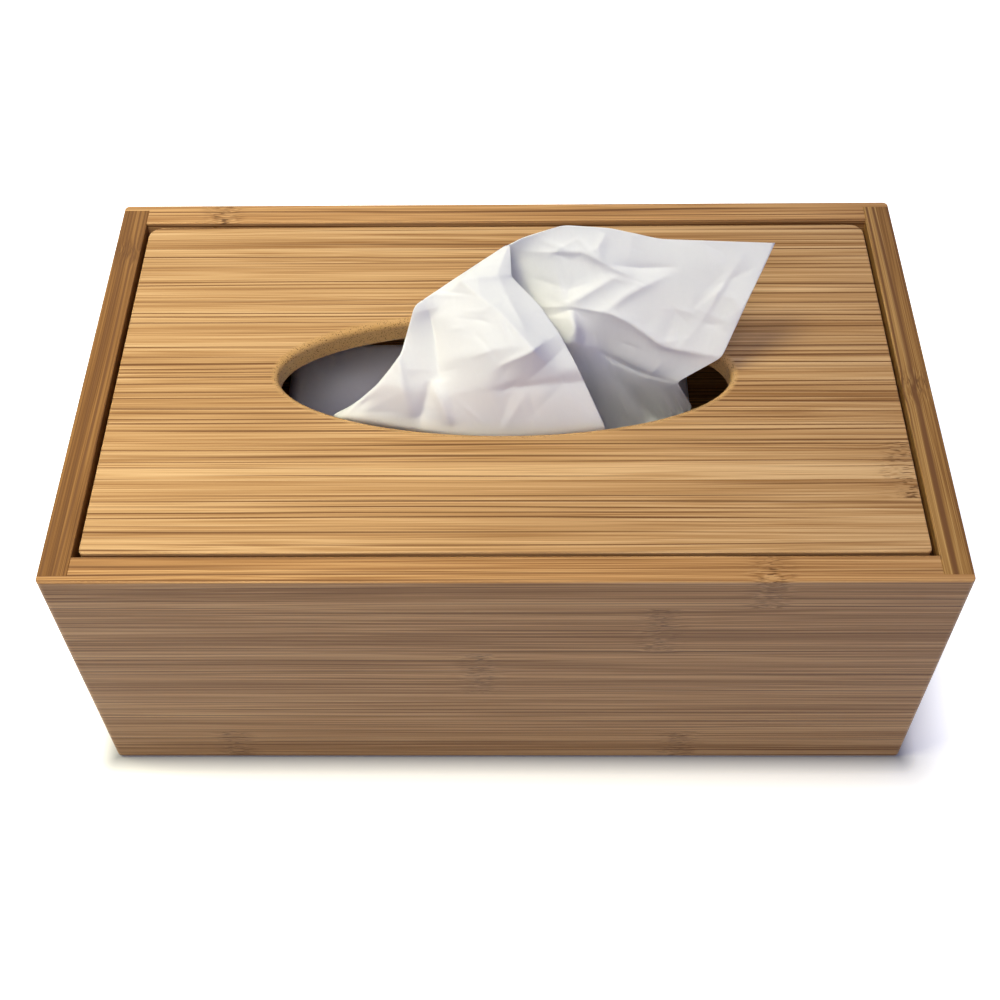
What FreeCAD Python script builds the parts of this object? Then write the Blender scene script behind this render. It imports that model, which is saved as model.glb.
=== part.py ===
import FreeCAD, Part
import os

# A bamboo tissue box with a lift-out lid, a stack of folded tissues,
# and the sheet that stands ready in the hole. Millimetres.
# The origin is the middle of the base, +X runs along the box to the right, +Y to the back, +Z up.

# Outside of the box, its boards and their eased edges
BOX_LENGTH = 241.3
BOX_WIDTH = 139.7
BOX_HEIGHT = 101.6
WALL = 8.0
LIP = 2.2  # what the rabbet in a long wall leaves outside the end of a side wall
CORNER_EASE = 1.5  # upright corners and the edge on the table
RIM_EASE = 0.4

# Bottom panel, in a groove that runs round the four walls
BOTTOM_THICK = 4.0
BOTTOM_RISE = 4.0  # from the table up to the panel
GROOVE_DEPTH = 4.0
GROOVE_ROOM = 0.3  # between the panel's edge and the end of the groove

# Loose lid, and the ledges under its two ends
LID_THICK = 8.0
LID_DROP = 0.6  # from the rim down to the lid's top
LID_GAP = 1.3  # between the lid's edge and the walls
LID_FRONT_ROUND = 1.5
LID_BACK_ROUND = 4.0
LID_EASE = 0.4
LEDGE_WIDE = 8.0
LEDGE_TALL = 10.0

# Oval hole in the lid
HOLE_LENGTH = 130.0
HOLE_WIDTH = 44.0
HOLE_BACK = 0.8  # how far its middle lies behind the middle of the lid
HOLE_TOP_ROUND = 2.0
HOLE_UNDER_ROUND = 1.0

# Stack of folded tissues, with the slit that the standing sheet comes out of
STACK_LENGTH = 134.0
STACK_ROOM = 12.0  # in front of it and behind it, to the walls
STACK_HEIGHT = 56.0  # to the crest of its crowned top
STACK_CROWN = 4.0
STACK_ROUND = 5.0
STACK_LEFT = 3.5  # how far its middle lies left of the middle of the box
SLIT_LENGTH = 94.0
SLIT_FLOOR = 8.0  # thickness of the stack that is left under the slit

# Standing sheet of tissue, folded round a crest at the left into a front arm and a longer back arm
SHEET_THICK = 0.6
SOFT_GAP = 0.3  # between the sheet and the walls of the slit
TAIL_ARM = 1.0  # from the middle of the slit to the middle of an arm
TAIL_BULGE = 0.2  # how much an arm bows out in the slit
TAIL_FRONT_SHORT = 26.0  # how much earlier the front arm ends than the back arm
NECK_LEFT = 18.0  # room between the sheet and the hole's edge at each side, at the level of the lid
NECK_RIGHT = 13.0
NECK_FRONT = 7.5
NECK_BACK = 16.5
NECK_FRONT_SHORT = 25.0
NECK_TURN = 4.0  # how far the arms draw in from the front at their ends
CREST_WIDE = 4.5  # width of the fold at the left, at the level of the lid

# Plan of the sheet at heights over the lid, as X and Y of its free front edge, front belly,
# front of the crest, back of the crest, back belly and right end
SHEET_ROWS = (
    (4.0, ((25.0, -13.8), (-2.5, -15.0), (-37.0, -10.0), (-38.0, -6.0), (12.0, 5.2), (59.0, 0.8))),
    (14.0, ((20.7, -10.2), (-3.5, -10.8), (-27.8, -2.8), (-28.4, 1.0), (16.0, 6.8), (64.7, 4.4))),
    (25.0, ((10.2, 3.6), (-5.4, 3.0), (-19.5, 7.5), (-19.0, 10.8), (16.0, 12.2), (69.8, 10.9))),
    (40.0, ((2.5, 21.5), (0.3, 21.4), (-2.0, 22.0), (-1.5, 23.5), (19.0, 24.5), (77.0, 21.0))),
)

# Upper edge of the sheet seen from the front, as X and height over the lid, from left to right
SHEET_TOP = ((-60.0, 16.0), (-25.0, 22.5), (1.0, 34.5), (16.5, 37.4), (44.0, 33.6), (95.0, 35.0))

half_length = BOX_LENGTH / 2
half_width = BOX_WIDTH / 2
inner_x = half_length - WALL
inner_y = half_width - WALL
lid_top = BOX_HEIGHT - LID_DROP
lid_under = lid_top - LID_THICK
bottom_top = BOTTOM_RISE + BOTTOM_THICK
stack_top = bottom_top + STACK_HEIGHT
slit_bottom = bottom_top + SLIT_FLOOR
slit_half = TAIL_ARM + TAIL_BULGE + SHEET_THICK / 2 + SOFT_GAP


def vector(x, y, z):
    return FreeCAD.Vector(x, y, z)


def same(a, b):
    """Whether two lengths are equal but for rounding."""
    return abs(a - b) < 1e-6


def block(x, y, z):
    """A box between the lower and upper value of each axis."""
    return Part.makeBox(x[1] - x[0], y[1] - y[0], z[1] - z[0], vector(x[0], y[0], z[0]))


def edges_at(shape, **places):
    """The edges of a shape whose two ends share the given coordinates, such as z=0."""
    found = []
    for edge in shape.Edges:
        ends = edge.Vertexes
        if all(same(getattr(end, axis.upper()), place) for end in ends for axis, place in places.items()):
            found.append(edge)
    return found


def groove():
    """The space that the grooves of all four walls take up together."""
    x = inner_x + GROOVE_DEPTH
    y = inner_y + GROOVE_DEPTH
    return block((-x, x), (-y, y), (BOTTOM_RISE, bottom_top))


def long_wall():
    """The front wall: a full-length board with a rabbet at each end and a groove along its inner face."""
    outer = -half_width
    board = block((-half_length, half_length), (outer, outer + WALL), (0, BOX_HEIGHT))
    outside = edges_at(board, z=0, y=outer)
    for x in (-half_length, half_length):
        outside += edges_at(board, x=x, y=outer) + edges_at(board, x=x, z=0)
    board = board.makeFillet(CORNER_EASE, outside)
    board = board.makeFillet(RIM_EASE, edges_at(board, z=BOX_HEIGHT))
    for x in ((-half_length, -inner_x), (inner_x, half_length)):
        board = board.cut(block(x, (outer + LIP, outer + WALL), (0, BOX_HEIGHT)))
    return board.cut(groove())


def side_wall():
    """The left wall: a board between the lips of the long walls, with the groove along its inner face."""
    end = half_width - LIP
    board = block((-half_length, -inner_x), (-end, end), (0, BOX_HEIGHT))
    board = board.makeFillet(CORNER_EASE, edges_at(board, x=-half_length, z=0))
    rim = edges_at(board, x=-half_length, z=BOX_HEIGHT) + edges_at(board, x=-inner_x, z=BOX_HEIGHT)
    return board.makeFillet(RIM_EASE, rim).cut(groove())


def bottom_panel():
    """The panel reaches into the grooves and stops short of their ends."""
    x = inner_x + GROOVE_DEPTH - GROOVE_ROOM
    y = inner_y + GROOVE_DEPTH - GROOVE_ROOM
    return block((-x, x), (-y, y), (BOTTOM_RISE, bottom_top))


def ledge():
    """The left ledge: a strip on the side wall, with its upper face at the underside of the lid."""
    face = -inner_x + LEDGE_WIDE
    under = lid_under - LEDGE_TALL
    board = block((-inner_x, face), (-inner_y, inner_y), (under, lid_under))
    edges = edges_at(board, x=face, z=lid_under) + edges_at(board, x=face, z=under)
    return board.makeFillet(RIM_EASE, edges)


def lid_panel():
    """A board with an eased upper edge, a chamfered under edge, and an oval hole rounded over."""
    x = inner_x - LID_GAP
    y = inner_y - LID_GAP
    board = block((-x, x), (-y, y), (lid_under, lid_top))
    for corner_y, radius in ((-y, LID_FRONT_ROUND), (y, LID_BACK_ROUND)):
        upright = edges_at(board, x=-x, y=corner_y) + edges_at(board, x=x, y=corner_y)
        board = board.makeFillet(radius, upright)
    board = board.makeFillet(LID_EASE, edges_at(board, z=lid_top))
    board = board.makeChamfer(LID_EASE, edges_at(board, z=lid_under))
    middle = vector(0, HOLE_BACK, lid_under)
    oval = Part.Ellipse(middle, HOLE_LENGTH / 2, HOLE_WIDTH / 2).toShape()
    board = board.cut(Part.Face(Part.Wire(oval)).extrude(vector(0, 0, LID_THICK)))
    tip = HOLE_LENGTH / 2
    board = board.makeFillet(HOLE_TOP_ROUND, edges_at(board, x=tip, z=lid_top))
    return board.makeFillet(HOLE_UNDER_ROUND, edges_at(board, x=tip, z=lid_under))


def tissue_stack():
    """A soft block with a crowned top and rounded ends, and the slit along its middle."""
    side = inner_y - STACK_ROOM
    shoulder = stack_top - STACK_CROWN
    left = -STACK_LEFT - STACK_LENGTH / 2
    corners = [vector(left, -side, shoulder), vector(left, -side, bottom_top)]
    corners += [vector(left, side, bottom_top), vector(left, side, shoulder)]
    crown = Part.Arc(corners[-1], vector(left, 0, stack_top), corners[0]).toShape()
    profile = Part.Wire(Part.makePolygon(corners).Edges + [crown])
    body = Part.Face(profile).extrude(vector(STACK_LENGTH, 0, 0))
    soft = [edge for edge in body.Edges if not same(edge.BoundBox.ZMax, bottom_top)]
    body = body.makeFillet(STACK_ROUND, soft)
    slit_x = SLIT_LENGTH / 2
    slit_z = (slit_bottom, stack_top + STACK_CROWN)
    return body.cut(block((-slit_x, slit_x), (-slit_half, slit_half), slit_z))


def tail_plan():
    """Plan of the sheet in the slit: two nearly flat arms, joined at the left."""
    end = SLIT_LENGTH / 2 - SOFT_GAP - SHEET_THICK / 2
    front_end = end - TAIL_FRONT_SHORT
    bow = TAIL_ARM + TAIL_BULGE
    front = ((front_end, -TAIL_ARM), ((front_end - end) / 2, -bow), (-end, -TAIL_ARM))
    back = ((-end, TAIL_ARM), (0.0, bow), (end, TAIL_ARM))
    return front + back


def neck_plan():
    """Plan of the sheet in the hole, kept clear of the hole's edge by the room at each side."""
    left = NECK_LEFT - HOLE_LENGTH / 2
    right = HOLE_LENGTH / 2 - NECK_RIGHT
    front = HOLE_BACK - HOLE_WIDTH / 2 + NECK_FRONT
    back = HOLE_BACK + HOLE_WIDTH / 2 - NECK_BACK
    front_end = right - NECK_FRONT_SHORT
    turn = front + NECK_TURN
    front_arm = ((front_end, turn), ((left + front_end) / 2, front), (left, turn))
    back_arm = ((left, turn + CREST_WIDE), ((left + right) / 2, back), (right, back - 2 * NECK_TURN))
    return front_arm + back_arm


def band(plan, z):
    """A closed wire round one row of the sheet: the row moved half a thickness to either side."""
    points = [vector(x, y, z) for x, y in plan]
    outer = []
    inner = []
    for point, before, after in zip(points, points[:1] + points, points[1:] + points[-1:]):
        along = (after - before).normalize()
        half = vector(along.y, -along.x, 0) * (SHEET_THICK / 2)
        outer.append(point + half)
        inner.insert(0, point - half)
    loop = outer + inner
    edges = []
    for start in range(0, len(loop), 3):
        first, belly, last = loop[start:start + 3]
        edges.append(Part.Arc(first, belly, last).toShape())
        edges.append(Part.makeLine(last, loop[(start + 3) % len(loop)]))
    return Part.Wire(edges)


def tissue_sheet():
    """A ruled loft through the rows, from the foot in the slit up, cut off along the upper edge."""
    foot = slit_bottom + SOFT_GAP
    rows = [band(tail_plan(), foot), band(tail_plan(), stack_top), band(neck_plan(), lid_under)]
    rows += [band(plan, lid_top + height) for height, plan in SHEET_ROWS]
    sheet = Part.makeLoft(rows, True, True)
    outline = [vector(x, -half_width, lid_top + height) for x, height in SHEET_TOP]
    outline += [vector(outline[-1].x, -half_width, 0), vector(outline[0].x, -half_width, 0), outline[0]]
    return sheet.common(Part.Face(Part.makePolygon(outline)).extrude(vector(0, BOX_WIDTH, 0)))


def opposite(shape, axis):
    """The same piece on the other side of the box."""
    return shape.mirror(vector(0, 0, 0), axis)


pieces = {
    "front_wall": long_wall(),
    "back_wall": opposite(long_wall(), vector(0, 1, 0)),
    "left_wall": side_wall(),
    "right_wall": opposite(side_wall(), vector(1, 0, 0)),
    "bottom_panel": bottom_panel(),
    "left_ledge": ledge(),
    "right_ledge": opposite(ledge(), vector(1, 0, 0)),
    "lid_panel": lid_panel(),
    "tissue_stack": tissue_stack(),
    "tissue_sheet": tissue_sheet(),
}
os.makedirs("parts", exist_ok=True)
for name, shape in pieces.items():
    shape.exportStep(f"parts/{name}.step")
    print(name, "solids", len(shape.Solids), "valid", shape.isValid(), "volume", round(shape.Volume))
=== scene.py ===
# %% [markdown]
# # A bamboo tissue box with a loose lid
# The box is six bamboo boards and two ledges. Inside it a stack of folded tissues holds up the next sheet.
# The boards are already exact in the CAD frame, so they only need a finish.
# The paper is soft, so it is modelled here, around the same frame and in the same metres.

# %% Load the frame
import math

import bpy
import numpy as np
from mathutils import Matrix, Vector


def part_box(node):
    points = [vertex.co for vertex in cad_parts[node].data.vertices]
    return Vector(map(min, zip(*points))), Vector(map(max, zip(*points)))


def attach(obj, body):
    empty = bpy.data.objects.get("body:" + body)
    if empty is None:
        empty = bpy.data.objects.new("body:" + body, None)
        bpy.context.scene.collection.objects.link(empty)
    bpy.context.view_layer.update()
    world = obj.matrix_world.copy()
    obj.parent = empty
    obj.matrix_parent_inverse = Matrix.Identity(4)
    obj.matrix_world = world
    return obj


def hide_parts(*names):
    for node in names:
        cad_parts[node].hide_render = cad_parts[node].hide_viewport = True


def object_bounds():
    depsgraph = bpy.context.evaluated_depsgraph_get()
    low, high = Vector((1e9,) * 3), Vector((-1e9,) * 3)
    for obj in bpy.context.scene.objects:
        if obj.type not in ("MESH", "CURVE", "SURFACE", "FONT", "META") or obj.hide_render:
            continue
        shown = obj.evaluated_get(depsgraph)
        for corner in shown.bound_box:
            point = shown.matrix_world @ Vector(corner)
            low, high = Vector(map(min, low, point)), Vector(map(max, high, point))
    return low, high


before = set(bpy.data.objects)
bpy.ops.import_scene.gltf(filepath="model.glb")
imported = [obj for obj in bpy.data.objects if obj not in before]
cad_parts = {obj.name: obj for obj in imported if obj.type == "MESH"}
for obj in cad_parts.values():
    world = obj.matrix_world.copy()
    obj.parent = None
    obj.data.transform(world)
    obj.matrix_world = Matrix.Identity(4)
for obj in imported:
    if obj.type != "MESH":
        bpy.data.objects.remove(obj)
cad_low, cad_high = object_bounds()
MM = 0.001
lid_low, lid_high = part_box("lid_panel")
stack_low, stack_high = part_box("tissue_stack")
print("CAD box in mm:", [round(side / MM, 1) for side in cad_high - cad_low])

# %% [markdown]
# ## Camera
# The picture was taken from above the front edge of the box, with the lens axis above the picture's middle.
# A camera could be turned by eye until the corners agree. It is surer to fit a pinhole camera to the corners
# of the box, whose sizes are known, and write down what the fit gives: its place, its angles and its lens.
# The shift puts the lens axis at the pixel where it met the picture.

# %% Camera
PICTURE = 1000
SENSOR = 36.0
FOCAL_PIXELS = 1462.9
AXIS_PIXEL = np.array((496.5, 378.3))
CAMERA_PLACE = np.array((3.9, -268.8, 422.9)) * MM
LOOK_DOWN = math.radians(50.28)
LOOK_LEFT = math.radians(1.31)
ROLL = math.radians(-1.22)
NEAREST = 0.01


def camera_axes():
    """Right, up and forward of the camera: forward from two angles, the others turned about it by a roll."""
    level = np.array((-math.sin(LOOK_LEFT), math.cos(LOOK_LEFT), 0.0))
    forward = math.cos(LOOK_DOWN) * level - math.sin(LOOK_DOWN) * np.array((0.0, 0.0, 1.0))
    flat_right = np.array((level[1], -level[0], 0.0))
    flat_up = np.cross(flat_right, forward)
    right = math.cos(ROLL) * flat_right + math.sin(ROLL) * flat_up
    return right, np.cross(right, forward), forward


camera_right, camera_up, camera_forward = camera_axes()
camera_data = bpy.data.cameras.new("camera")
camera_data.sensor_width = SENSOR
camera_data.lens = SENSOR * FOCAL_PIXELS / PICTURE
camera_data.shift_x = (PICTURE / 2 - AXIS_PIXEL[0]) / PICTURE
camera_data.shift_y = (AXIS_PIXEL[1] - PICTURE / 2) / PICTURE
camera_data.clip_start = NEAREST
camera = bpy.data.objects.new("camera", camera_data)
bpy.context.scene.collection.objects.link(camera)
turn = np.column_stack((camera_right, camera_up, -camera_forward))
camera.matrix_world = Matrix.Translation(CAMERA_PLACE) @ Matrix(turn.tolist()).to_4x4()
bpy.context.scene.camera = camera
print("lens in mm:", round(camera_data.lens, 2))
print("shift:", round(camera_data.shift_x, 4), round(camera_data.shift_y, 4))

# %% [markdown]
# ## Shader maths
# A finish is a small sum: streaks times a mask, plus a tint. Node by node that takes pages of code.
# The class below wraps one socket, so that the sum is written as Python: each operator adds its Math node.
# Colours and vectors go through their own nodes, because a Math node would turn a colour grey.

# %% Socket wrapper


class Field:
    """One socket of a material's nodes, used like a number. Any other node comes from its method node."""

    def __init__(self, tree, socket=None):
        self.tree = tree
        self.socket = socket

    def node(self, kind, settings=None, sockets=None, out=0):
        """A new node: its settings first, such as a ramp's stops, then the values or links of its sockets."""
        made = self.tree.nodes.new(kind)
        for name, value in (settings or {}).items():
            if name == "stops":
                ramp = made.color_ramp.elements
                while len(ramp) < len(value):
                    ramp.new(1.0)
                for stop, (position, colour) in zip(ramp, value):
                    stop.position = position
                    stop.color = (*colour, 1.0)
            else:
                setattr(made, name, value)
        for name, value in (sockets or {}).items():
            if isinstance(value, Field):
                self.tree.links.new(value.socket, made.inputs[name])
            else:
                made.inputs[name].default_value = value
        return Field(self.tree, made.outputs[out])

    def math(self, operation, *operands, clamp=False):
        settings = {"operation": operation, "use_clamp": clamp}
        return self.node("ShaderNodeMath", settings, dict(enumerate(operands)))

    def vector(self, operation, *operands):
        return self.node("ShaderNodeVectorMath", {"operation": operation}, dict(enumerate(operands)))

    def __add__(self, other):
        return self.math("ADD", self, other)

    def __radd__(self, other):
        return self.math("ADD", other, self)

    def __sub__(self, other):
        return self.math("SUBTRACT", self, other)

    def __rsub__(self, other):
        return self.math("SUBTRACT", other, self)

    def __mul__(self, other):
        return self.math("MULTIPLY", self, other)

    def __rmul__(self, other):
        return self.math("MULTIPLY", other, self)

    def __truediv__(self, other):
        return self.math("DIVIDE", self, other)

    def __rpow__(self, other):
        return self.math("POWER", other, self)

    def root(self):
        return self.math("SQRT", self)

    def clamped(self):
        return self.math("ADD", self, 0.0, clamp=True)

    def bell(self, middle, width):
        """1 at middle, falling to 1/e at width on each side."""
        off = (self - middle) / width
        return math.e ** (off * off * -1.0)

    def tint(self, below, above):
        """A colour between two others, by this factor."""
        return self.node("ShaderNodeMix", {"data_type": "RGBA"}, {0: self, 6: below, 7: above}, out=2)

    def feed(self, shader, socket):
        self.tree.links.new(self.socket, shader.inputs[socket])


def new_material(name):
    """A material, its Principled shader and the object coordinates to start from."""
    material = bpy.data.materials.new(name)
    material.use_nodes = True
    shader = material.node_tree.nodes["Principled BSDF"]
    return material, shader, Field(material.node_tree).node("ShaderNodeTexCoord", out="Object")


print("socket wrapper ready")

# %% [markdown]
# ## Bamboo
# A bamboo board is glued up from strips of split cane. The fibres run straight along it as dark bundles in
# pale pith, so a long face shows fine streaks and thin dark lines, a cut end shows dots, and each joint of
# the cane leaves a rough mark. A picture of wood on each face would not meet round an edge. The finish here
# is solid: noise drawn out along the fibres and thin slanted layers, both read at each point of the board.

# %% Noises of the bamboo
# length and width of the cells in mm, a shift that keeps the noises apart, and the detail
WANDER = (170.0, 40.0, 3.0, 0.0)
SWIRL = (10.0, 3.5, 9.0, 0.0)
BROAD = (420.0, 5.0, 0.0, 2.0)
FINE = (130.0, 0.8, 17.0, 2.0)
HAIR = (60.0, 0.25, 31.0, 1.0)
LINE_STRAY = (260.0, 2.6, 47.0, 1.0)
LINE_FADE = (190.0, 1.3, 53.0, 0.0)
SPECKS = (3.0, 0.36, 61.0, 1.0)
PORES = (0.4, 0.4, 71.0, 0.0)
STRIP_SHIFT = 40.0


def fibre_noise(spot, chance, seed, cells, sideways=0.0):
    """Noise about 0, whose cells are long along the fibres and start at a new place in each strip."""
    along, across, through = spot
    length, width, shift, detail = cells
    cell = along.node("ShaderNodeCombineXYZ", None, {
        0: along / length + chance * STRIP_SHIFT,
        1: (across + sideways) / width + shift,
        2: (through + sideways) / width + seed})
    sockets = {"Vector": cell, "Scale": 1.0, "Detail": detail}
    return along.node("ShaderNodeTexNoise", None, sockets, out="Fac") - 0.5


print("widest and finest streaks in mm:", BROAD[1], HAIR[1])

# %% Sanded edge of the hole
SANDED_REACH = 2.2
SANDED_START = 1.5


def near_oval(along, through, half_length, half_width, middle):
    """1 at the edge of an oval hole and 0 from SANDED_REACH mm outside it on. With F = (x/a)^2 + (y/b)^2, a
    point lies about (F - 1) / |gradient of F| from the oval. The fade starts at 1.5 and is cut off at 1."""
    end, side = along / half_length, (through - middle) / half_width
    steep = 2.0 * ((end * end) / half_length ** 2 + (side * side) / half_width ** 2).root()
    away = (end * end + side * side - 1.0) / steep
    return (SANDED_START - away / SANDED_REACH * SANDED_START).clamped()


print("sanded edge in mm:", SANDED_REACH)

# %% Bamboo finish
OPEN_GRAIN = (0.165, 0.067, 0.018, 1.0)
MARK_BROWN = (0.13, 0.053, 0.014, 1.0)
SANDED_GOLD = (0.6, 0.345, 0.11, 1.0)
STRIP_RISE = 5.7
SAME_STRIP = 0.1
# joints of the cane: reach and swirl in mm, stain, and how dark, crisp and sparse their specks are
MARK_REACH, MARK_SWIRL, MARK_STAIN, MARK_SPECKS = 4.6, 2.0, 0.12, 0.85
SPECK_STEEP, SPECK_START = 12.0, 0.6
WANDER_REACH = 2.0
# dark lines: gap and half width in mm, slant of their layers, stray in mm, and how many of them show
LINE_GAP, LINE_HALF_WIDTH, LINE_SLANT, LINE_STRAY_REACH = 1.9, 0.38, 0.83, 2.4
LINE_FADE_STEEP, LINE_SHARE = 4.5, 0.55
LINE_DARK = 1.4
GLUE_HALF_WIDTH, GLUE_DARK = 0.12, 0.4
# shares of the tone, and where the three tones lie on it
BROAD_TONE, FINE_TONE, HAIR_TONE, STRIP_TONE = 0.9, 0.6, 1.1, 0.2
TONE_STOPS = (0.1, 0.5, 0.9)
# the sanded edge: calmer streaks, lighter, golden, with pores, and smoother
SANDED_CALM, SANDED_LIGHT, SANDED_TINT, SANDED_SMOOTH = 0.7, 0.1, 0.6, 0.9
PORE_STEEP, PORE_START, PORE_DARK = 7.0, 0.7, 0.8
# lacquer: roughness and what changes it, heights of the relief, and gloss
LACQUER_ROUGH, TONE_ROUGH, LINE_ROUGH = 0.5, -0.12, 0.1
TONE_RELIEF, HAIR_RELIEF, LINE_RELIEF = 0.5, 0.3, 0.6
RELIEF_STRENGTH, RELIEF_HEIGHT = 0.2, 0.0002
LACQUER_SHINE, LACQUER_COAT, LACQUER_COAT_ROUGH = 0.22, 0.03, 0.3


def bamboo(name, fibre, middle, strip, tones, contrast, seed, marks=(), hole=None):
    """A satin bamboo board. fibre names the axes along, across and through the board, middle is where its
    glue line lies across, and strip the size of a strip across and through it, all in mm. marks lists the
    joints of the cane, as places along and through in mm: each darkens its strip there and breaks its streaks
    into short dashes. hole is the half length, half width and middle through the board of an oval with a
    sanded edge, which shows faint grain and fine pores. The dark lines lie where through + slant * across is
    a multiple of the gap, so they go on round an edge of the board."""
    material, shader, point = new_material(name)
    place = point.vector("MULTIPLY", point, (1 / MM,) * 3)
    split = place.node("ShaderNodeSeparateXYZ", None, {0: place})
    along, across, through = (Field(split.tree, split.socket.node.outputs[axis]) for axis in fibre)
    sanded = near_oval(along, through, *hole) if hole else 0.0
    across = across - middle
    through = through + STRIP_RISE
    strip_across = across.math("FLOOR", across / strip[0])
    strip_through = through.math("FLOOR", through / strip[1])
    which = point.node("ShaderNodeCombineXYZ", None, {0: strip_across, 1: strip_through, 2: seed})
    chance = point.node("ShaderNodeTexWhiteNoise", {"noise_dimensions": "3D"}, {"Vector": which}, out="Value")

    def noise(cells, sideways=0.0):
        return fibre_noise((along, across, through), chance, seed, cells, sideways)

    joint = 0.0
    for mark_along, mark_through in marks:
        marked = math.floor((mark_through + STRIP_RISE) / strip[1])
        here = strip_through.math("COMPARE", strip_through, marked, SAME_STRIP)
        joint = joint + here * along.bell(mark_along, MARK_REACH)
    wander = noise(WANDER) * WANDER_REACH
    if marks:
        wander = wander + noise(SWIRL) * joint * MARK_SWIRL
    broad, fine, hair = noise(BROAD, wander), noise(FINE, wander), noise(HAIR, wander)

    level = through + across * LINE_SLANT + wander + noise(LINE_STRAY) * LINE_STRAY_REACH
    shows = (noise(LINE_FADE) * LINE_FADE_STEEP + LINE_SHARE).clamped() * (1.0 - sanded)
    lines = (1.0 - level.math("PINGPONG", level, LINE_GAP / 2) / LINE_HALF_WIDTH).clamped() * shows
    seam = (1.0 - across.math("PINGPONG", across, strip[0]) / GLUE_HALF_WIDTH).clamped()
    tone = broad * BROAD_TONE + fine * FINE_TONE + hair * HAIR_TONE + (chance - 0.5) * STRIP_TONE
    tone = (tone * contrast * (1.0 - sanded * SANDED_CALM) + sanded * SANDED_LIGHT + 0.5).clamped()

    colour = tone.node("ShaderNodeValToRGB", {"stops": tuple(zip(TONE_STOPS, tones))}, {0: tone})
    colour = (lines * LINE_DARK + seam * GLUE_DARK).clamped().tint(colour, OPEN_GRAIN)
    if hole:
        pores = (noise(PORES) * PORE_STEEP - PORE_START).clamped() * sanded
        colour = (sanded * SANDED_TINT).tint(colour, SANDED_GOLD)
        colour = (pores * PORE_DARK).tint(colour, OPEN_GRAIN)
    if marks:
        specks = (noise(SPECKS) * SPECK_STEEP - SPECK_START).clamped() * joint
        colour = (joint * MARK_STAIN + specks * MARK_SPECKS).clamped().tint(colour, MARK_BROWN)
    colour.feed(shader, "Base Color")

    (tone * TONE_ROUGH + lines * LINE_ROUGH + LACQUER_ROUGH).feed(shader, "Roughness")
    relief = tone * TONE_RELIEF + hair * HAIR_RELIEF - lines * LINE_RELIEF
    relief = relief * (1.0 - sanded * SANDED_SMOOTH)
    relief.node("ShaderNodeBump", None, {
        "Strength": RELIEF_STRENGTH, "Distance": RELIEF_HEIGHT, "Height": relief}).feed(shader, "Normal")
    shader.inputs["Specular IOR Level"].default_value = LACQUER_SHINE
    shader.inputs["Coat Weight"].default_value = LACQUER_COAT
    shader.inputs["Coat Roughness"].default_value = LACQUER_COAT_ROUGH
    return material


print("relief of the grain in mm:", RELIEF_HEIGHT / MM)

# %% Boards
# size of a strip across and through the board, then dark, middle and pale tone of each board
WALL_STRIP = (4.0, 23.5)
LID_STRIP = (20.0, 6.3)
BASE_STRIP = (18.0, 23.5)
WALL_TONES = ((0.265, 0.118, 0.034), (0.447, 0.222, 0.073), (0.635, 0.36, 0.142))
BROWN_TONES = ((0.125, 0.047, 0.009), (0.215, 0.09, 0.019), (0.33, 0.157, 0.04))
OLIVE_TONES = ((0.21, 0.09, 0.02), (0.36, 0.18, 0.046), (0.54, 0.31, 0.1))
LID_TONES = ((0.3, 0.14, 0.04), (0.532, 0.3, 0.118), (0.73, 0.468, 0.222))
BASE_TONES = ((0.42, 0.26, 0.125), (0.52, 0.34, 0.175), (0.62, 0.43, 0.24))
# where the glue lines lie, the joints of the cane, and the oval hole, in mm
WALL_MIDDLE_X = 116.65
WALL_MIDDLE_Y = 65.85
LID_GLUE_LINE = 107.0
FRONT_MARKS = ((68.9, 95), (41.9, 75), (-7, 54), (-82.5, 12), (52.5, 12))
BACK_MARKS = ((-89.0, 97), (30, 60), (-20, 35), (88, 12))
LEFT_MARKS = ((49.5, 97), (-30, 60), (10, 12))
RIGHT_MARKS = ((-5, 97), (35, 60), (-40, 35))
LID_MARKS = ((109, -29), (107.5, -35), (109.5, -41))
LID_HOLE = (65.0, 22.0, 0.8)
BOARDS = {
    # fibre, glue line, strip, tones, contrast of the streaks, seed of the noise, joints of the cane, hole
    "front_wall": ("XYZ", -WALL_MIDDLE_Y, WALL_STRIP, WALL_TONES, 1.75, 2.0, FRONT_MARKS),
    "back_wall": ("XYZ", WALL_MIDDLE_Y, WALL_STRIP, WALL_TONES, 1.75, 5.0, BACK_MARKS),
    "left_wall": ("YXZ", -WALL_MIDDLE_X, WALL_STRIP, BROWN_TONES, 1.4, 11.0, LEFT_MARKS),
    "right_wall": ("YXZ", WALL_MIDDLE_X, WALL_STRIP, OLIVE_TONES, 1.5, 19.0, RIGHT_MARKS),
    "left_ledge": ("YXZ", 0.0, WALL_STRIP, BROWN_TONES, 0.8, 23.0),
    "right_ledge": ("YXZ", 0.0, WALL_STRIP, WALL_TONES, 0.8, 29.0),
    "bottom_panel": ("XYZ", 0.0, BASE_STRIP, BASE_TONES, 0.8, 37.0),
    "lid_panel": ("XZY", LID_GLUE_LINE, LID_STRIP, LID_TONES, 1.1, 41.0, LID_MARKS, LID_HOLE),
}
for board, recipe in BOARDS.items():
    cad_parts[board].material_slots[0].material = bamboo(board + "_bamboo", *recipe)
    print(board, "is finished in bamboo")

# %% [markdown]
# ## Paper
# Tissue is two thin plies of creped paper: matt, a little see-through, with a fine cross grain.
# Its folds are shape, so they belong in the mesh. The finish only adds the crepe, as a slight bump,
# and lets some light through with a translucent part, as a shade of paper does.

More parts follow.
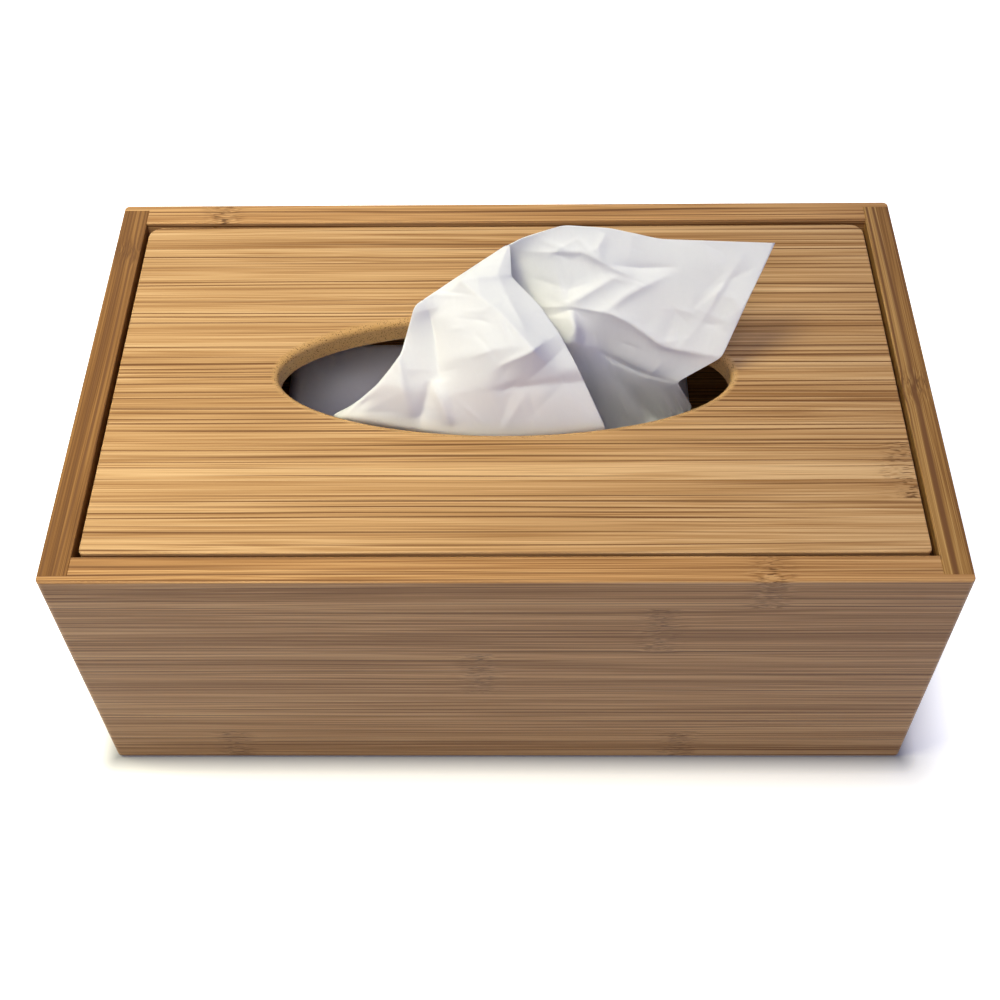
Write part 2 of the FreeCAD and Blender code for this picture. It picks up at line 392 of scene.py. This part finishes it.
# %% Paper finish
PAPER_WHITE = (0.945, 0.94, 0.905, 1.0)
PAPER_DIM = (0.89, 0.89, 0.87, 1.0)
# the stack is the same tissue as the sheet, but dimmer and tinted blue-violet: painted shade, for the shade
# it lies in under the lid
STACK_PAINTED_SHADE_WHITE = (0.86, 0.89, 0.97, 1.0)
STACK_PAINTED_SHADE_DIM = (0.8, 0.81, 0.9, 1.0)
LIGHT_THROUGH = 0.06
CLOUD_SCALE = 90.0
CLOUD_TONE, CREPE_TONE, TONE_DROP = 0.7, 0.5, 0.1
CREPE_STRENGTH, CREPE_HEIGHT, CLOUD_RELIEF = 0.12, 0.0002, 0.5
PAPER_ROUGH, PAPER_SHINE = 0.9, 0.15
# width and length of the crepe in metres
SHEET_CREPE = (0.0009, 0.004)
STACK_CREPE = (0.0012, 0.0012)


def paper(name, crepe_width, crepe_length, dim, white):
    """Soft white tissue: creped by noise that is short across the sheet and longer along it."""
    material, shader, point = new_material(name)
    stretch = point.vector("MULTIPLY", point, (1 / crepe_width, 1 / crepe_width, 1 / crepe_length))
    crepe = point.node("ShaderNodeTexNoise", None, {
        "Vector": stretch, "Scale": 1.0, "Detail": 2.0}, out="Fac")
    cloud = point.node("ShaderNodeTexNoise", None, {
        "Vector": point, "Scale": CLOUD_SCALE, "Detail": 2.0}, out="Fac")
    colour = (cloud * CLOUD_TONE + crepe * CREPE_TONE - TONE_DROP).clamped().tint(dim, white)
    colour.feed(shader, "Base Color")
    bump = crepe.node("ShaderNodeBump", None, {
        "Strength": CREPE_STRENGTH, "Distance": CREPE_HEIGHT, "Height": crepe + cloud * CLOUD_RELIEF})
    bump.feed(shader, "Normal")
    shader.inputs["Roughness"].default_value = PAPER_ROUGH
    shader.inputs["Specular IOR Level"].default_value = PAPER_SHINE
    through = colour.node("ShaderNodeBsdfTranslucent", None, {"Color": colour, "Normal": bump})
    both = through.node("ShaderNodeMixShader", None, {0: LIGHT_THROUGH, 2: through})
    both.tree.links.new(shader.outputs[0], both.socket.node.inputs[1])
    both.tree.links.new(both.socket, both.tree.nodes["Material Output"].inputs["Surface"])
    return material


sheet_paper = paper("sheet_paper", *SHEET_CREPE, PAPER_DIM, PAPER_WHITE)
# the stack's paper: the sheet's tissue with painted blue-violet shade in its colour
stack_paper_painted_shade = paper("stack_paper_painted_shade", *STACK_CREPE, STACK_PAINTED_SHADE_DIM, STACK_PAINTED_SHADE_WHITE)
print("paper lets through", LIGHT_THROUGH)

# %% [markdown]
# ## Surfaces from arrays
# Every new piece is a grid: two parameters in, a point out, worked out for the whole array at once.
# Quads join each point to its neighbours, and a closed direction joins the last column to the first.

# %% Grid to mesh


def grid_piece(name, points, material, closed=False):
    """A mesh object from an array of points (rows, columns, 3). closed joins the last column to the first,
    and puts a small cap on the first and the last row."""
    rows, columns = points.shape[:2]
    number = np.arange(rows * columns).reshape(rows, columns)
    nearer = np.roll(number, -1, axis=1) if closed else number[:, 1:]
    own = number if closed else number[:, :-1]
    faces = np.stack((own[:-1], nearer[:-1], nearer[1:], own[1:]), axis=-1).reshape(-1, 4).tolist()
    if closed:
        faces += [number[0, ::-1].tolist(), number[-1].tolist()]
    mesh = bpy.data.meshes.new(name)
    mesh.from_pydata(points.reshape(-1, 3), [], faces)
    mesh.polygons.foreach_set("use_smooth", np.ones(len(mesh.polygons), bool))
    mesh.materials.append(material)
    piece = bpy.data.objects.new(name, mesh)
    bpy.context.scene.collection.objects.link(piece)
    return piece


print("grids become meshes")

# %% [markdown]
# ## Stack of tissues
# The refill is a pile of folded sheets, soft at its edges, with a crowned top and a slit that the next sheet
# comes out of. One grid makes all of it: the outline runs round the pile, and the second parameter goes from
# the middle of its underside out, up the layered side, in over the crown, and down into the slit.

# %% Outlines of the stack
STACK_STEPS = 260
OUTLINE_POWER = 14.0
SLIT_POWER = 2.6
SLIT_HALF_LENGTH = 46.5 * MM
SLIT_HALF_WIDTH = 1.7 * MM
SLIT_MIDDLE = np.array((-3.5, 0.0)) * MM
RIGHT_END = 59.0 * MM


def superellipse(turn, half_x, half_y, power):
    """Points of |x/a|^n + |y/b|^n = 1 by angle: a soft rectangle for a large n."""
    c, s = np.cos(turn), np.sin(turn)
    reach = (np.abs(c / half_x) ** power + np.abs(s / half_y) ** power) ** (-1 / power)
    return np.stack((reach * c, reach * s), axis=-1)


print("slit in mm:", round(2 * SLIT_HALF_LENGTH / MM, 1), "by", round(2 * SLIT_HALF_WIDTH / MM, 1))

# %% Stack of tissues
LAYER = 2.3 * MM
LAYER_DEPTH = 0.9 * MM
LAYER_DRIFT = 0.3
EDGE_ROUND = 5.0 * MM
CROWN = 4.0 * MM
FOOT_INSET = 2 * MM
FOOT_RISE = 1 * MM
SLIT_FLOOR = 8.5 * MM
LIP_DROP = 1.2 * MM
LIP_POWER = 12
LIP_DEPTH = 2 * MM
POLE_SHARE = 0.02
FOOT_ROWS, SIDE_ROWS, EDGE_ROWS, CROWN_ROWS, SLIT_ROWS = 6, 150, 12, 60, 20


def stack_points():
    """Rows of outlines: the pile's soft rectangle, drawn in by an arc at its edges and by |sin| along its
    layered side, then blended into the thin oval of the slit while the height follows the crown."""
    middle = np.array(((stack_low.x + RIGHT_END) / 2, (stack_low.y + stack_high.y) / 2))
    half = np.array(((RIGHT_END - stack_low.x) / 2, (stack_high.y - stack_low.y) / 2))
    turn = np.linspace(0, 2 * np.pi, STACK_STEPS, endpoint=False)
    outer = superellipse(turn, half[0], half[1], OUTLINE_POWER)
    oval = superellipse(turn, SLIT_HALF_LENGTH, SLIT_HALF_WIDTH, SLIT_POWER)
    slit = oval + SLIT_MIDDLE - middle
    rows = []

    def add(plan, height):
        rows.append(np.column_stack((middle + plan, np.broadcast_to(height, STACK_STEPS))))

    foot, edge = stack_low.z, stack_high.z - CROWN
    for share in np.linspace(POLE_SHARE, 1.0, FOOT_ROWS):
        add(outer * share * (1 - FOOT_INSET / half), foot)
    for height in np.linspace(foot + FOOT_RISE, edge - EDGE_ROUND, SIDE_ROWS):
        fold = np.abs(np.sin(np.pi * (height - foot) / LAYER + LAYER_DRIFT * np.sin(3 * turn)))
        add(outer * (1 - LAYER_DEPTH * (1 - fold)[:, None] / half), height)
    for bend in np.linspace(0, np.pi / 2, EDGE_ROWS)[1:]:
        drawn_in = EDGE_ROUND * (1 - math.cos(bend))
        add(outer * (1 - drawn_in / half), edge - EDGE_ROUND * (1 - math.sin(bend)))
    inner = outer * (1 - EDGE_ROUND / half)
    for share in np.linspace(0, 1, CROWN_ROWS)[1:]:
        rise = CROWN * math.sin(share * np.pi / 2) - LIP_DROP * share ** LIP_POWER
        add(inner + (slit - inner) * share, edge + rise)
    for height in np.linspace(stack_high.z - LIP_DEPTH, foot + SLIT_FLOOR, SLIT_ROWS)[1:]:
        add(slit, height)
    add(slit - (1 - POLE_SHARE) * oval, foot + SLIT_FLOOR)
    return np.array(rows)


stack = grid_piece("folded_tissues", stack_points(), stack_paper_painted_shade, closed=True)
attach(stack, "box")
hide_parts("tissue_stack")
print("stack faces:", len(stack.data.polygons))

# %% [markdown]
# ## Standing sheet
# The sheet that stands in the hole is folded over at the left: a front flap, whose free hem runs down from
# the peak, and a long back panel that leans to the right and turns under before it goes down into the box.
# Cloth simulation would give some folds, but not these. So a net of points is read off the picture, each as a
# pixel and a guessed depth, and lifted along the camera's ray. Creases are then pressed into the fine grid.
# Below the lid, where the stack holds the sheet, soft upright gathers take their place.

# %% Net of the standing sheet


def seen(across, down, depth):
    """The point on the ray of a pixel at that Y, in mm from the middle of the base."""
    ray = camera_forward + (
        camera_right * (across - AXIS_PIXEL[0]) - camera_up * (down - AXIS_PIXEL[1])) / FOCAL_PIXELS
    return CAMERA_PLACE / MM + ray * (depth - CAMERA_PLACE[1] / MM) / ray[1]


def over_lid(x, y, height):
    """A point that the picture doesn't show, in mm, by its height over the lid."""
    return np.array((x, y, height + lid_high.z / MM))


SHEET_NET = np.array((
    # peak, and the upper hem of the back panel
    (seen(510, 247, 17), seen(508, 246, 17.3), seen(506, 246, 17.6), seen(504, 247, 17.9),
     seen(501, 249, 18.2), seen(522, 238, 20), seen(563, 225, 22.5), seen(610, 228, 22.5),
     seen(660, 239, 21), seen(715, 241, 19.5), seen(775, 243, 18)),
    # ridge under the bright facet
    (seen(511, 277, 11.5), seen(497, 275, 10.5), seen(478, 277, 10), seen(462, 279, 10),
     seen(451, 281, 12), over_lid(2, 18.5, 27), seen(552, 256, 17.5), seen(606, 260, 17),
     seen(664, 265, 16), seen(714, 268, 15), seen(764, 267, 14)),
    # middle of the flap, bulge of the back panel
    (seen(540, 306, 3.5), seen(518, 318, -1), seen(480, 318, -0.5), seen(432, 318, 1.5),
     seen(412, 305, 2.5), over_lid(0, 15, 20), seen(562, 286, 12.5), seen(612, 290, 11.5),
     seen(668, 298, 10.5), seen(710, 303, 9.5), seen(748, 300, 8.5)),
    # where the back panel turns under
    (seen(560, 335, -3.5), seen(530, 346, -8), seen(488, 350, -8.5), seen(438, 362, -7),
     seen(397, 353, -4.5), over_lid(-2, 11, 14), seen(565, 311, 8), seen(614, 319, 6),
     seen(670, 346, 3), seen(700, 354, 1.5), seen(722, 357, 0.5)),
    # crease under the overhang
    (seen(578, 368, -10), seen(540, 383, -13.5), seen(492, 388, -14), seen(443, 396, -12.5),
     seen(376, 383, -9.5), seen(384, 392, -3), seen(575, 343, 2), seen(605, 353, 4.5),
     seen(642, 370, 1.5), seen(662, 378, 0.5), seen(677, 382, -0.5)),
    # just inside the oval hole
    (seen(607, 431, -17), seen(560, 437, -18), seen(500, 441, -18.5), seen(450, 436, -17.5),
     seen(341, 418, -12), seen(326, 417, -4), over_lid(24, 6, -18), seen(640, 426, 4),
     seen(668, 419, 3), seen(681, 415, 2.5), seen(693, 410, 2)),
    # under the lid
    (over_lid(26, -12, -16), over_lid(12, -13, -16), over_lid(-4, -13, -16), over_lid(-22, -12, -16),
     over_lid(-46, -9, -14), over_lid(-44, -1, -26), over_lid(12, 4, -31), over_lid(31, 2.5, -34),
     over_lid(39, 2, -33), over_lid(44, 2, -32), over_lid(49, 1.5, -31)),
    # mouth of the slit
    (over_lid(16, -0.8, -38), over_lid(2, -0.9, -38), over_lid(-12, -0.9, -38), over_lid(-28, -0.8, -38),
     over_lid(-47, 0, -38), over_lid(-36, 0.8, -38), over_lid(-8, 0.9, -38), over_lid(10, 0.9, -38),
     over_lid(22, 0.9, -38), over_lid(31, 0.8, -38), over_lid(40, 0.8, -38)),
    # bottom of the slit
    (over_lid(14, -0.7, -84.5), over_lid(0, -0.8, -84.5), over_lid(-14, -0.8, -84.5),
     over_lid(-29, -0.7, -84.5), over_lid(-47, 0, -84.5), over_lid(-36, 0.7, -84.5),
     over_lid(-9, 0.8, -84.5), over_lid(9, 0.8, -84.5),
     over_lid(21, 0.8, -84.5), over_lid(30, 0.7, -84.5), over_lid(38, 0.7, -84.5)),
)) * MM
print("net of", SHEET_NET.shape[0], "rows and", SHEET_NET.shape[1], "columns")

# %% Fine grid of the standing sheet
ROW_STEPS = (32, 32, 32, 34, 34, 12, 6, 6)
COLUMN_STEPS = (28, 28, 28, 30, 14, 16, 26, 26, 22, 22)
# stretches of the net that make the flap, and the columns past them where it ends and the panel begins
FLAP_STRETCHES, FLAP_PAST, PANEL_PAST = 4, 4, 10
FOLD_COLUMN = sum(COLUMN_STEPS[:FLAP_STRETCHES])
FLAP = slice(0, FOLD_COLUMN + FLAP_PAST)
PANEL = slice(FOLD_COLUMN + PANEL_PAST, sum(COLUMN_STEPS) + 1)
SOFTEN_NET, SOFTEN_CREASES = 10, 1
SOFTEN_SHARE = 0.25


def spread(net, steps, axis):
    """The net filled in along one axis with straight stretches, each cut into its own number of steps."""
    stretches = [np.arange(count) / count + stretch for stretch, count in enumerate(steps)]
    place = np.concatenate(stretches + [[len(steps)]])
    left = np.minimum(place.astype(int), len(steps) - 1)
    share = (place - left).reshape((-1, 1, 1) if axis == 0 else (1, -1, 1))
    return np.take(net, left, axis) * (1 - share) + np.take(net, left + 1, axis) * share


def soften(points, times):
    """Rounds the folds: each pass moves a point half way to the mean of its two neighbours, which is a
    quarter of their sum less two of itself, along both axes. The border follows only its own line."""
    for _ in range(times):
        points = points.copy()
        points[1:-1] += SOFTEN_SHARE * (points[:-2] - 2 * points[1:-1] + points[2:])
        points[:, 1:-1] += SOFTEN_SHARE * (points[:, :-2] - 2 * points[:, 1:-1] + points[:, 2:])
    return points


sheet_points = soften(spread(spread(SHEET_NET, ROW_STEPS, 0), COLUMN_STEPS, 1), SOFTEN_NET)
print("grid of the sheet:", sheet_points.shape[:2])

# %% Creases
CREASES = (
    # columns, polyline of pixels, widths on its left and right in pixels, height in mm: a valley is negative
    (FLAP, ((436, 260), (500, 312), (548, 366)), 34, 20, 4.4),
    (FLAP, ((436, 282), (482, 277), (535, 273)), 12, 14, 2.2),
    (FLAP, ((428, 308), (436, 340), (440, 384)), 16, 9, -2.6),
    (FLAP, ((397, 345), (403, 388), (413, 418)), 12, 8, 2.4),
    (FLAP, ((431, 380), (425, 404), (419, 428)), 4, 4, -1.8),
    (FLAP, ((432, 382), (441, 404), (450, 428)), 4, 9, 2.2),
    (FLAP, ((478, 392), (545, 383), (600, 381)), 16, 12, -1.8),
    (FLAP, ((499, 366), (530, 352), (544, 342)), 12, 6, 1.9),
    (FLAP, ((372, 396), (360, 406), (350, 416)), 3, 5, -1.6),
    (PANEL, ((531, 252), (583, 252), (608, 265), (634, 278)), 6, 14, 1.8),
    (PANEL, ((605, 233), (597, 249), (605, 261)), 6, 6, 1.0),
    (PANEL, ((608, 265), (640, 268), (675, 267)), 6, 6, -1.3),
    (PANEL, ((617, 276), (580, 298), (566, 305)), 8, 8, 1.6),
    (PANEL, ((666, 276), (626, 295), (612, 308)), 7, 6, 1.2),
    (PANEL, ((743, 256), (724, 285), (701, 324)), 5, 2, 0.7),
    (PANEL, ((540, 307), (574, 307), (611, 314), (632, 324), (663, 347), (718, 357)), 3, 12, 1.4),
    (PANEL, ((570, 310), (576, 328), (573, 350)), 14, 4, 4.4),
    (PANEL, ((606, 350), (616, 380), (630, 424)), 3, 5, 1.0),
    (PANEL, ((634, 372), (644, 392), (652, 420)), 4, 3, -1.0),
    (PANEL, ((600, 352), (640, 372), (678, 383)), 4, 4, -1.8),
    (PANEL, ((655, 384), (664, 398), (674, 416)), 4, 4, -1.6),
    (PANEL, ((668, 384), (676, 396), (686, 412)), 4, 4, 1.4),
)
FOLD_END = 0.02
FOLD_FADE = 0.5


def pixels_of(points):
    """Where the camera sees each point, as pixels across and down."""
    ray = points - CAMERA_PLACE
    away = ray @ camera_forward
    flat = np.stack((ray @ camera_right, -(ray @ camera_up)), axis=-1) / away[..., None]
    return AXIS_PIXEL + FOCAL_PIXELS * flat


def fold_profile(spots, line, left, right):
    """A ridge along a polyline: exp(-distance / width), with its own width on each side, times the root of a
    sine along it, so that it fades to its two ends."""
    line = np.array(line, float)
    size = spots.shape[:2]
    nearest, share, width = np.full(size, np.inf), np.zeros(size), np.ones(size)
    for step, (begin, stop) in enumerate(zip(line[:-1], line[1:])):
        run = stop - begin
        offset = spots - begin
        along = np.clip(offset @ run / (run @ run), 0, 1)
        distance = np.linalg.norm(offset - along[..., None] * run, axis=-1)
        closer = distance < nearest
        side = np.where(run[0] * offset[..., 1] - run[1] * offset[..., 0] > 0, left, right)
        share = np.where(closer, (step + along) / (len(line) - 1), share)
        width = np.where(closer, side, width)
        nearest = np.minimum(nearest, distance)
    return np.exp(-nearest / width) * np.sin(np.pi * np.clip(share, FOLD_END, 1 - FOLD_END)) ** FOLD_FADE


print("folds that were read off the picture:", len(CREASES))

# %% Small crinkles and all creases
# number and seed, field in pixels, half lengths and widths in pixels, largest height in mm
CRINKLES, CRINKLE_SEED = 260, 5
CRINKLE_FIELD = ((350, 235), (760, 425))
CRINKLE_REACH = (6, 26)
CRINKLE_WIDTH = (1.2, 4.0)
CRINKLE_HEIGHT = 0.4
PANEL_FROM = 545
CREASE_FADE = 8 * MM


def small_crinkles(random):
    """Short straight creases strewn over both panels, with widths and a height drawn from a seed."""
    middle = random.uniform(*CRINKLE_FIELD, (CRINKLES, 2))
    angle = random.uniform(0, np.pi, CRINKLES)
    reach = random.uniform(*CRINKLE_REACH, CRINKLES)
    half = np.column_stack((np.cos(angle), np.sin(angle))) * reach[:, None]
    width = random.uniform(*CRINKLE_WIDTH, (CRINKLES, 2))
    height = random.uniform(-CRINKLE_HEIGHT, CRINKLE_HEIGHT, CRINKLES)
    panels = np.where(middle[:, 0] > PANEL_FROM, "panel", "flap")
    return [({"panel": PANEL, "flap": FLAP}[panel], (spot - arm, spot + arm), *sides, rise)
            for panel, spot, arm, sides, rise in zip(panels, middle, half, width, height)]


def crease(points):
    """The sheet with every crease pressed in along the line of sight, fading out inside the box."""
    spots = pixels_of(points)
    sight = CAMERA_PLACE - points
    sight /= np.linalg.norm(sight, axis=-1, keepdims=True)
    above = np.clip((points[..., 2] - lid_low.z) / CREASE_FADE, 0, 1)
    moved = points.copy()
    crinkles = small_crinkles(np.random.default_rng(CRINKLE_SEED))
    for columns, line, left, right, height in (*CREASES, *crinkles):
        push = fold_profile(spots[:, columns], line, left, right) * above[:, columns] * height * MM
        moved[:, columns] += sight[:, columns] * push[..., None]
    return moved


sheet_points = soften(crease(sheet_points), SOFTEN_CREASES)
print("creases:", len(CREASES) + CRINKLES)

# %% Gathers inside the box
# height in mm, number and start of each wave
GATHERS = ((1.5, 4.5, 0.1), (1.1, 8.0, 0.45), (0.7, 13.0, 0.8))
WAVE_MEAN = 0.64
GATHER_FADE = 14 * MM
GATHER_IN_SLIT = 0.15


def gather(points):
    """The sheet drawn into upright folds where the slit of the stack holds it: a sum of |sin| waves over the
    columns, less their mean, moves it to the front and back. It grows from the underside of the lid down, and
    shrinks again to a small share in the slit."""
    column = np.linspace(0, 1, points.shape[1])
    wave = sum(height * (np.abs(np.sin(np.pi * (count * column + start))) - WAVE_MEAN)
               for height, count, start in GATHERS)
    level = points[..., 2]
    grown = np.clip((lid_low.z - level) / GATHER_FADE, 0, 1)
    free = np.clip((level - stack_high.z) / GATHER_FADE, GATHER_IN_SLIT, 1)
    moved = points.copy()
    moved[..., 1] += wave * grown * free * MM
    return moved


sheet_points = gather(sheet_points)
print("gathers:", len(GATHERS))

# %% Standing sheet
SHEET_THICK = 0.35 * MM
sheet = grid_piece("standing_tissue", sheet_points, sheet_paper)
shell = sheet.modifiers.new("thickness", "SOLIDIFY")
shell.thickness = SHEET_THICK
shell.offset = 0.0
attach(sheet, "tissue")
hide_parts("tissue_sheet")
print("sheet faces:", len(sheet.data.polygons))

# %% [markdown]
# ## Floor, world and lamps
# The box stands on white. A white floor under strong lamps would wash the box out, so the floor adds what it
# lacks only for rays from the camera and for reflections, and keeps the shadow close to the box. Along the
# foot of the box a contact shadow is painted into the floor's colour.
# The key lamp hangs high at the left, so that each fold turns dark on its right and the gaps round the lid
# stay dark. A soft lamp in front lights the front board, the flap and the stack. A low one behind lights the
# back board and the sheet's back, and a blue sky fills the shade.

# %% Floor
FLOOR_SIDE = 8.0
FLOOR_GREY = (0.3, 0.3, 0.3, 1.0)
FLOOR_WHITE = (0.9, 0.89, 0.84, 1.0)
SHADE_REACH = 0.025
# painted contact shadow: the grey that the floor's colour takes along the foot of the box, and its reach in
# metres
PAINTED_FOOT_SHADOW_GREY = (0.36, 0.36, 0.36, 1.0)
PAINTED_FOOT_SHADOW_REACH = 0.006
BLACK = (0.0, 0.0, 0.0, 1.0)
WHITE = (1.0, 1.0, 1.0, 1.0)


def looked_at(start):
    """1 for rays from the camera, and for those that a gloss or a clear piece sends on, otherwise 0."""
    camera_ray = start.node("ShaderNodeLightPath", out="Is Camera Ray")
    outputs = camera_ray.socket.node.outputs
    return (camera_ray + Field(start.tree, outputs["Is Glossy Ray"])
            + Field(start.tree, outputs["Is Transmission Ray"])).clamped()


def floor_material():
    """Grey for bounced light, so that it doesn't light the walls too much. Where it is looked at it is white,
    with a painted contact shadow along the foot of the box, and its own light grows to full white with the
    distance from the footprint, which is the length of max(|p| - half sides, 0)."""
    material, shader, point = new_material("floor_white")
    seen_floor = looked_at(point)
    past = point.vector("SUBTRACT", point.vector("ABSOLUTE", point), (cad_high.x, cad_high.y, 0.0))
    past = past.vector("MAXIMUM", past, (0.0, 0.0, 0.0))
    away = past.node("ShaderNodeVectorMath", {"operation": "LENGTH"}, {0: past}, out="Value")
    far = (away / SHADE_REACH).clamped()
    # painted shadow: the floor's colour turns grey within a few mm of the box's foot
    white_with_painted_foot_shadow = (away / PAINTED_FOOT_SHADOW_REACH).clamped().tint(PAINTED_FOOT_SHADOW_GREY, FLOOR_WHITE)
    seen_floor.tint(FLOOR_GREY, white_with_painted_foot_shadow).feed(shader, "Base Color")
    (seen_floor * far).tint(BLACK, WHITE).feed(shader, "Emission Color")
    shader.inputs["Emission Strength"].default_value = 1.0
    shader.inputs["Roughness"].default_value = 1.0
    shader.inputs["Specular IOR Level"].default_value = 0.0
    return material


floor_line = np.linspace(-1, 1, 3) * FLOOR_SIDE / 2
floor_x, floor_y = np.meshgrid(floor_line, floor_line)
floor = grid_piece("floor", np.stack((floor_x, floor_y, np.zeros_like(floor_y)), axis=-1), floor_material())
print("floor side in m:", FLOOR_SIDE)

# %% World and lamps
SKY_FILL = (0.19, 0.215, 0.42, 1.0)
world = bpy.data.worlds.new("studio")
bpy.context.scene.world = world
world.use_nodes = True
sky = looked_at(Field(world.node_tree)).tint(SKY_FILL, WHITE)
sky.feed(world.node_tree.nodes["Background"], "Color")

WARM = (1.0, 0.965, 0.64)
COOL = (0.98, 0.93, 0.905)
LAMPS = {
    # place, aim, size, beam in degrees, colour and watts of each lamp
    "key": ((-0.45, -0.05, 1.0), (-0.17, -0.02, 0.1), 0.4, 50, WARM, 0.93),
    "front": ((-0.12, -0.6, 0.95), (0.0, 0.0, 0.1), 0.4, 180, COOL, 2.95),
    "back": ((-0.35, 0.95, 0.34), (0.0, 0.0, 0.08), 0.5, 180, WARM, 1.7),
}
for name, (place, aim, size, beam, tint, watts) in LAMPS.items():
    lamp = bpy.data.lights.new(name + "_lamp", "AREA")
    lamp.energy = watts
    lamp.size = size
    lamp.spread = math.radians(beam)
    lamp.color = tint
    holder = bpy.data.objects.new(name + "_lamp", lamp)
    holder.location = place
    holder.rotation_euler = (Vector(aim) - Vector(place)).to_track_quat("-Z", "Y").to_euler()
    bpy.context.scene.collection.objects.link(holder)
    print(name, "lamp:", watts, "W")
bpy.context.scene.view_settings.view_transform = "Standard"
